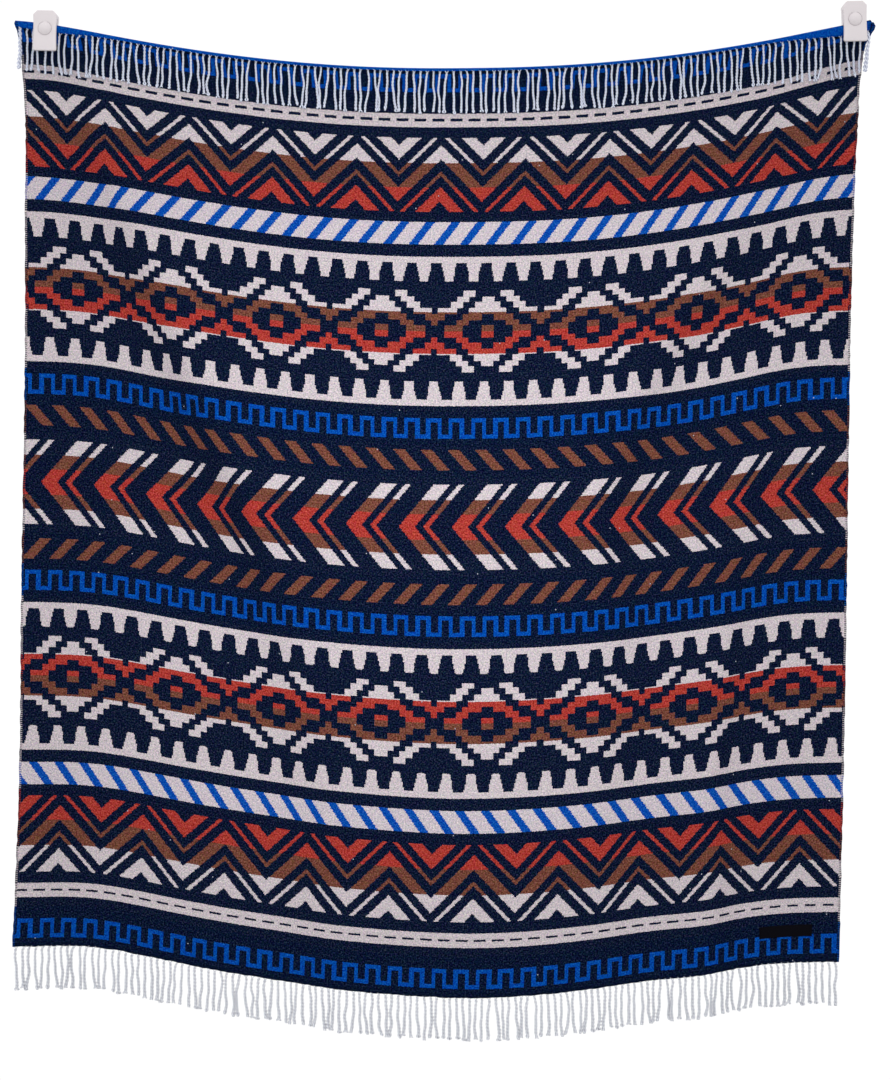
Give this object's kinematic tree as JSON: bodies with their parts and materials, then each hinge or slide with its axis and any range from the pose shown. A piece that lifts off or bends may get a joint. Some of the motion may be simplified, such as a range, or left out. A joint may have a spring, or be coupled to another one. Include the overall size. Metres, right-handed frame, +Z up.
{
  "type": "throw blanket with wall clips",
  "caption": "Woven throw blanket with knotless twisted fringes, hung against a wall by its upper corners from a pair of plastic clips, its upper end turned over to the front.",
  "frame": {"origin": "on the wall, halfway between the backs of the clips", "axes": "+X to the right along the wall as seen from the front, +Y into the wall, +Z up"},
  "size_m": [1.261, 0.0662, 1.5219],
  "materials": {
    "double_cloth": "brushed wool double cloth, navy with bands in off-white, brown, rust and blue",
    "fringe_yarn": "twisted pale blue-grey wool yarn",
    "label_tape": "fine near-black woven tape, bare",
    "clip_plastic": "white satin moulded plastic"
  },
  "bodies": {
    "root": {"blanket": "double_cloth", "fringe_top": "fringe_yarn", "fringe_bottom": "fringe_yarn", "label": "label_tape", "clip_left_base": "clip_plastic", "clip_left_jaw": "clip_plastic", "clip_left_button": "clip_plastic", "clip_right_base": "clip_plastic", "clip_right_jaw": "clip_plastic", "clip_right_button": "clip_plastic"}
  },
  "joints": []
}
